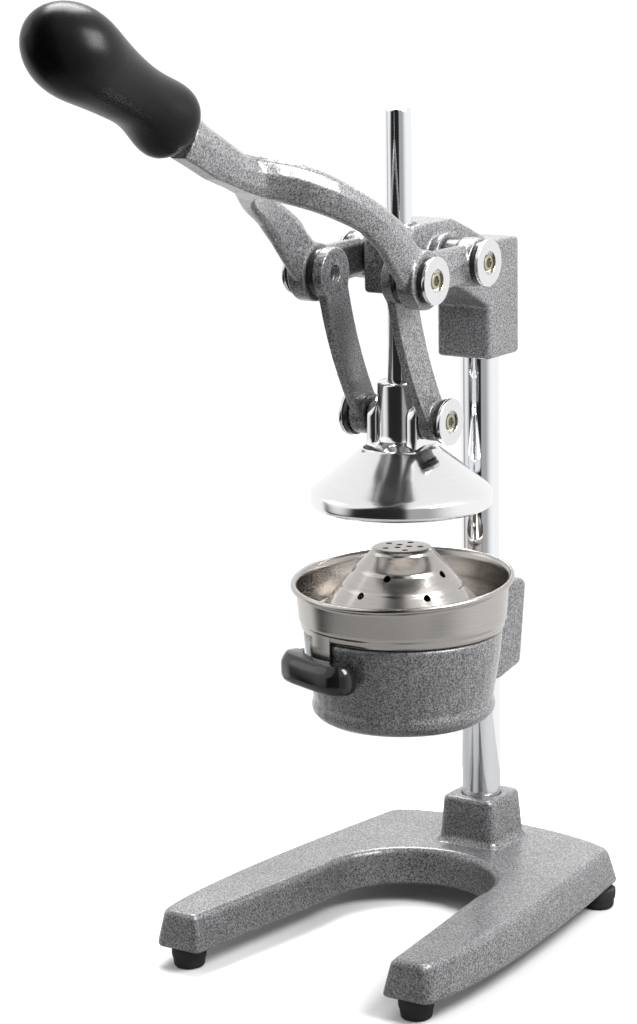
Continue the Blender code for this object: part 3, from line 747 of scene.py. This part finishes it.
footSizes = {"top": 11.0, "low": 9.5, "hole": 6.0, "holeDeep": 6, "bore": 2.7, "neck": (0.6, 5), "topFrom": 7.5,
             "corners": [0, 0, 0.4, 1.4, 0.8, 1.2, 0.5, 0]}


def makeFeet():
    top, low, hole, bore, deep = (footSizes[key] for key in ("top", "low", "hole", "bore", "holeDeep"))
    wider, neckAt = footSizes["neck"]
    for end in ("front", "rear"):
        for name in sides:
            node = f"foot_{end}_{name}"
            at = standingAt(node)
            tall = (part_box(node)[1].z - at.z) / mm
            outline = [(bore, deep), (hole, deep), (hole, 0), (low, 0), (low + wider, neckAt),
                       (top, footSizes["topFrom"]), (top, tall), (bore, tall)]
            bm = lathe(rounded(outline, footSizes["corners"], 3), 48)
            addPiece(f"foot_{end}{name.capitalize()}", bm, "stand", rubberSkin, [node], at)


makePivots()
makeBush()
makeFeet()
print("pivots and feet made")

for node in ("column_bolt", "base_set_screw", "ring_set_screw", "head_set_screw", "rod_screw",
             *(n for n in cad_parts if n.startswith("foot_screw_"))):
    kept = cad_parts[node]
    kept.data.materials.clear()
    kept.data.materials.append(screwSteel)


room = {  # the studio's walls: a dark strip in front, dimmer to the right of it, pale all round and above
    "dark": 0.02, "dim": 0.42, "pale": 1.05, "above": 0.95, "soft": 0.07, "strength": 1.0, "backdrop": 1.05,
    "stripLow": (-0.95, 0.10), "stripHigh": (-0.34, 0.06), "stripTop": 0.85, "stripBack": -0.42, "backSoft": 0.1,
    "asideFrom": (-0.1, 0.2), "asideTo": (1.0, 0.5), "asideFront": (-0.1, 0.35), "asideUp": (0.6, 0.25),
    "floorReach": 0.46, "floorDrop": 0.0004,
    "floorSeen": (0.78, 0.82), "floorBounced": (0.25, 0.27),  # a grey floor to everything that stands on it
}


def makeRoom():
    bm = bmesh.new()
    bmesh.ops.create_circle(bm, cap_ends=True, radius=room["floorReach"], segments=96)
    bmesh.ops.translate(bm, verts=bm.verts, vec=(0, 0, -room["floorDrop"]))
    mesh = bpy.data.meshes.new("floor")
    bm.to_mesh(mesh)
    bm.free()
    look, tree, shader = newLook("paleFloor", (0.7, 0.7, 0.7), 0.8, 0.0)
    tone = noise(tree, overMm(tree, 400), 2.0)
    seen, bounced = (ramp(tree, tone, *zip((0.3, 0.7), room[key])) for key in ("floorSeen", "floorBounced"))
    direct = addNode(tree, "LightPath").outputs["Is Camera Ray"]
    tree.links.new(blendShades(tree, direct, bounced, seen), shader.inputs["Base Color"])
    mesh.materials.append(look)
    floor = bpy.data.objects.new("floor", mesh)
    bpy.context.scene.collection.objects.link(floor)


viewFrom = {"place": (1.018, -1.5033, 0.691), "turn": 33.9, "down": 12.3, "roll": -0.89, "lens": 109.9,
            "sensor": 36, "far": 20}


def makeCamera():
    turn, down, roll = (math.radians(viewFrom[key]) for key in ("turn", "down", "roll"))
    back = Vector((math.sin(turn) * math.cos(down), -math.cos(turn) * math.cos(down), math.sin(down)))
    right = Vector((math.cos(turn), math.sin(turn), 0))
    up = back.cross(right)
    across = right * math.cos(roll) + up * math.sin(roll)
    above = up * math.cos(roll) - right * math.sin(roll)
    data = bpy.data.cameras.new("camera")
    data.lens, data.sensor_width, data.clip_end = viewFrom["lens"], viewFrom["sensor"], viewFrom["far"]
    camera = bpy.data.objects.new("camera", data)
    bpy.context.scene.collection.objects.link(camera)
    aim = Matrix((across, above, back)).transposed().to_4x4()
    camera.matrix_world = Matrix.Translation(viewFrom["place"]) @ aim
    bpy.context.scene.camera = camera


def fade(tree, value, low, high):
    limits = {"Value": value, "From Min": low, "From Max": high, "To Min": 0.0, "To Max": 1.0}
    return addNode(tree, "MapRange", limits, interpolation_type="SMOOTHSTEP").outputs[0]


def product(tree, *values):
    whole = values[0]
    for value in values[1:]:
        whole = maths(tree, "MULTIPLY", whole, value)
    return whole


def towards(tree, where, direction):
    inputs = {0: where, 1: direction}
    return addNode(tree, "VectorMath", inputs, operation="DOT_PRODUCT").outputs["Value"]


def makeSky():
    world = bpy.data.worlds.new("studio")
    bpy.context.scene.world = world
    world.use_nodes = True
    tree = world.node_tree
    where = addNode(tree, "TexCoord").outputs["Generated"]
    turn = math.radians(viewFrom["turn"])
    across = towards(tree, where, (math.cos(turn), math.sin(turn), 0))
    front = towards(tree, where, (math.sin(turn), -math.cos(turn), 0))
    up = addNode(tree, "SeparateXYZ", {0: where}).outputs[2]
    # the strip is wide at the horizon and narrow overhead
    soft, backAt, backSoft = room["soft"], room["stripBack"], room["backSoft"]
    ends = []
    for low, high in zip(room["stripLow"], room["stripHigh"]):
        limits = {"Value": up, "From Min": 0.0, "From Max": room["stripTop"], "To Min": low, "To Max": high}
        ends.append(maths(tree, "SUBTRACT", across, addNode(tree, "MapRange", limits).outputs[0]))
    strip = product(tree, fade(tree, ends[0], -soft, soft), fade(tree, ends[1], soft, -soft),
                    fade(tree, front, backAt - backSoft, backAt + backSoft))
    aside = product(tree, fade(tree, across, *room["asideFrom"]), fade(tree, across, *room["asideTo"]),
                    fade(tree, front, *room["asideFront"]), fade(tree, up, *room["asideUp"]))
    pale = blendShades(tree, fade(tree, up, 0.0, 1.0), (room["pale"],) * 3, (room["above"],) * 3)
    dimmed = blendShades(tree, aside, pale, (room["dim"],) * 3)
    lit = blendShades(tree, strip, dimmed, (room["dark"],) * 3)
    background = tree.nodes["Background"]
    tree.links.new(lit, background.inputs["Color"])
    background.inputs["Strength"].default_value = room["strength"]
    seen = addNode(tree, "Background", {"Color": (1, 1, 1, 1), "Strength": room["backdrop"]})
    ray = addNode(tree, "LightPath").outputs["Is Camera Ray"]
    both = addNode(tree, "MixShader", {0: ray, 1: background.outputs[0], 2: seen.outputs[0]})
    tree.links.new(both.outputs[0], tree.nodes["World Output"].inputs["Surface"])


lamps = {  # place and size in metres, power in watts
    "overhead": {"place": (-0.45, 0.75, 1.9), "size": 1.1, "power": 54},
    "rightBox": {"place": (0.6, 0.1, 0.75), "size": 0.4, "power": 9.5},
    "leftBox": {"place": (-1.5, -0.5, 1.0), "size": 0.9, "power": 2},
}


def makeLamps():
    target = Vector((0, rodAt.y, 0.3))  # halfway up the press
    for name, facts in lamps.items():
        data = bpy.data.lights.new(name, "AREA")
        data.size, data.energy = facts["size"], facts["power"]
        lamp = bpy.data.objects.new(name, data)
        bpy.context.scene.collection.objects.link(lamp)
        lamp.location = facts["place"]
        lamp.rotation_euler = (Vector(facts["place"]) - target).to_track_quat("Z", "Y").to_euler()


makeRoom()
makeCamera()
makeSky()
makeLamps()
bpy.context.scene.view_settings.view_transform = "Standard"
print("room, light and camera made")
